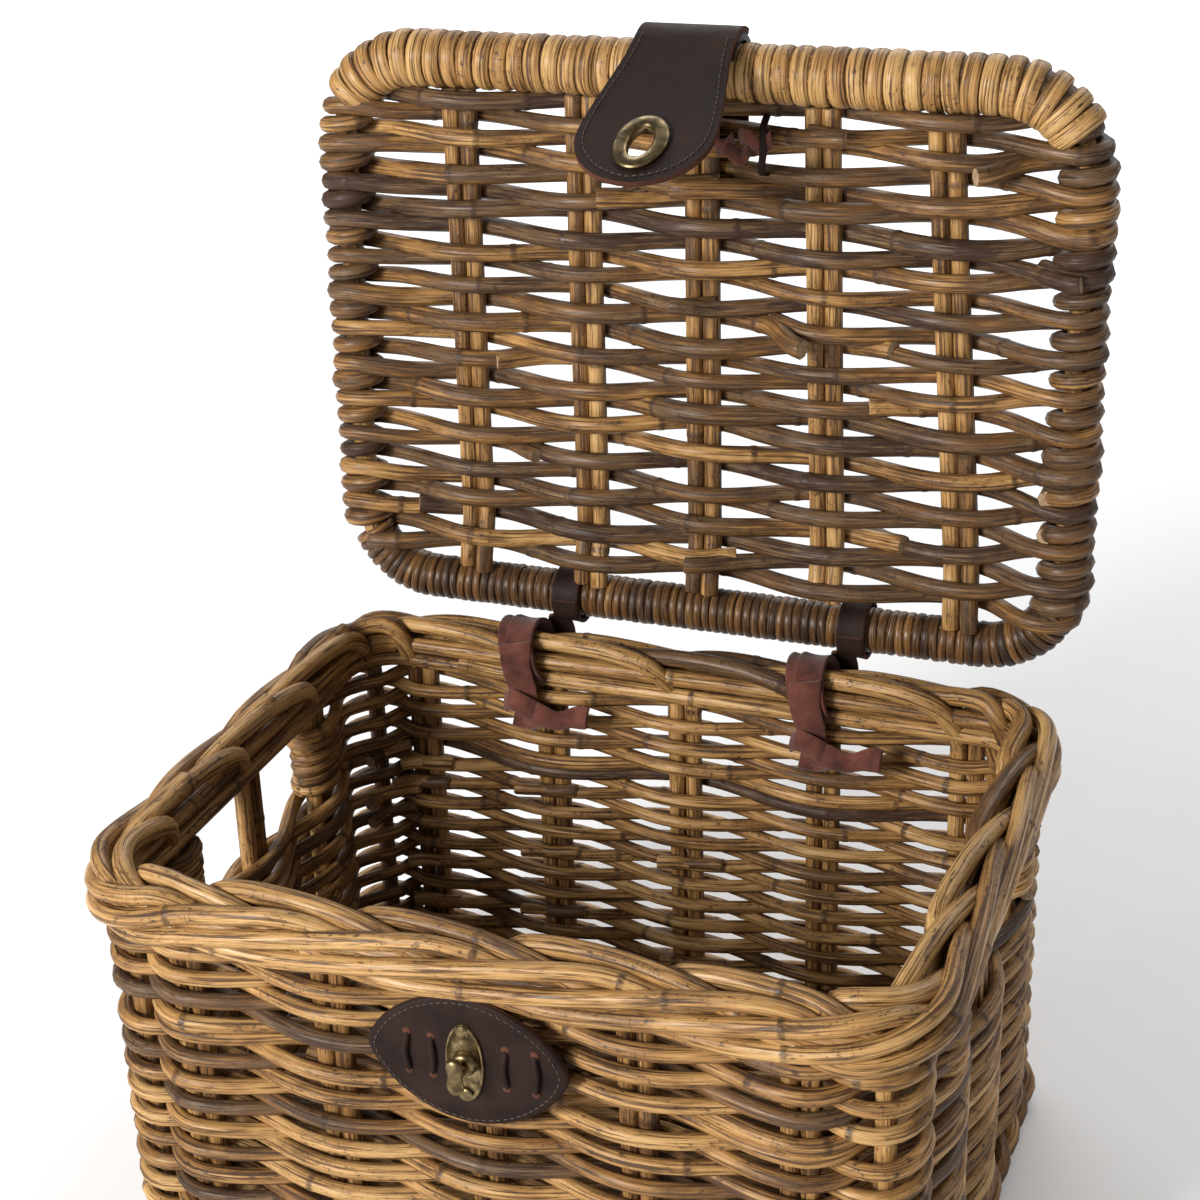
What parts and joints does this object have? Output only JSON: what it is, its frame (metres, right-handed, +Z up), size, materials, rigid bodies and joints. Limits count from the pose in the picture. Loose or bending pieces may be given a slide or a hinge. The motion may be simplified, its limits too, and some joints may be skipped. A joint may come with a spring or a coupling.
{
  "type": "lidded woven laundry basket",
  "caption": "Rectangular woven rattan basket with rolled rim, hand openings, a leather-hinged woven lid and a leather strap with turn-lock.",
  "frame": {"origin": "middle of the flat underside of the base", "axes": "+Z up, -Y towards the front with the turn-lock, +X to the right seen from the front"},
  "size_m": [0.4, 0.3484, 0.5185],
  "materials": {
    "rattan_walls": "satin natural rattan, mottled brown",
    "rattan_rim": "satin natural rattan, straw to honey",
    "rattan_stakes": "satin natural rattan",
    "rattan_lid": "satin natural rattan, grey brown and dark brown",
    "cane_wrap_light": "flat split cane binding, light tan",
    "cane_wrap_dark": "flat split cane binding, dark and glossy",
    "leather": "dark brown smooth leather, stitched edge",
    "suede": "reddish brown flesh side, matt",
    "aged_brass": "aged antique brass"
  },
  "bodies": {
    "basket": {"base_border": "rattan_rim", "base_panel": "rattan_walls", "lower_weave": "rattan_walls", "upper_weave_front": "rattan_walls", "upper_weave_back": "rattan_walls", "rim_border": "rattan_rim", "stake_front_1": "rattan_stakes", "stake_front_2": "rattan_stakes", "stake_front_3": "rattan_stakes", "stake_front_4": "rattan_stakes", "stake_front_5": "rattan_stakes", "stake_back_1": "rattan_stakes", "stake_back_2": "rattan_stakes", "stake_back_3": "rattan_stakes", "stake_back_4": "rattan_stakes", "stake_back_5": "rattan_stakes", "stake_left_front": "rattan_stakes", "stake_left_middle": "rattan_stakes", "stake_left_back": "rattan_stakes", "stake_right_front": "rattan_stakes", "stake_right_middle": "rattan_stakes", "stake_right_back": "rattan_stakes", "stake_corner_front_left": "rattan_stakes", "stake_corner_back_left": "rattan_stakes", "stake_corner_front_right": "rattan_stakes", "stake_corner_back_right": "rattan_stakes", "hinge_tie_left": "suede", "hinge_tie_right": "suede", "clasp_patch": "leather", "clasp_plate": "aged_brass", "clasp_rivet_upper": "aged_brass", "clasp_rivet_lower": "aged_brass", "clasp_lace_1": "suede", "clasp_lace_2": "suede", "clasp_lace_3": "suede", "clasp_lace_4": "suede"},
    "lid": {"lid_front_bar": "cane_wrap_light", "lid_rear_bar": "cane_wrap_dark", "lid_side_bar_left": "rattan_lid", "lid_side_bar_right": "rattan_lid", "lid_weave": "rattan_lid", "lid_stake_1": "rattan_stakes", "lid_stake_2": "rattan_stakes", "lid_stake_3": "rattan_stakes", "lid_stake_4": "rattan_stakes", "lid_stake_5": "rattan_stakes", "hinge_strap_left": "leather", "hinge_strap_right": "leather", "strap_tail": "leather", "strap_lace": "suede"},
    "strap_carrier": {"strap_sleeve": "leather"},
    "strap": {"latch_strap": "leather", "eyelet_ring": "aged_brass"},
    "toggle": {"clasp_toggle": "aged_brass"}
  },
  "joints": [
    {"name": "lid_hinge", "type": "hinge", "parent": "basket", "child": "lid", "pos_m": [0, 0.14582, 0.21709], "axis": [1, 0, 0], "range_deg": [0, 91.8]},
    {"name": "strap_follow", "type": "hinge", "parent": "lid", "child": "strap_carrier", "pos_m": [-0.002, 0.16869, 0.49733], "axis": [1, 0, 0], "range_deg": [-42.2, 0.2]},
    {"name": "strap_swing", "type": "hinge", "parent": "strap_carrier", "child": "strap", "pos_m": [-0.002, 0.16869, 0.49733], "axis": [1, 0, 0], "range_deg": [-60, 12]},
    {"name": "toggle_turn", "type": "hinge", "parent": "basket", "child": "toggle", "pos_m": [-0.001, -0.15, 0.1575], "axis": [0, 1, 0], "range_deg": [0, 90]}
  ],
  "couplings": [
    {"joint": "strap_follow", "follows": "lid_hinge", "ratio": -0.45752}
  ]
}
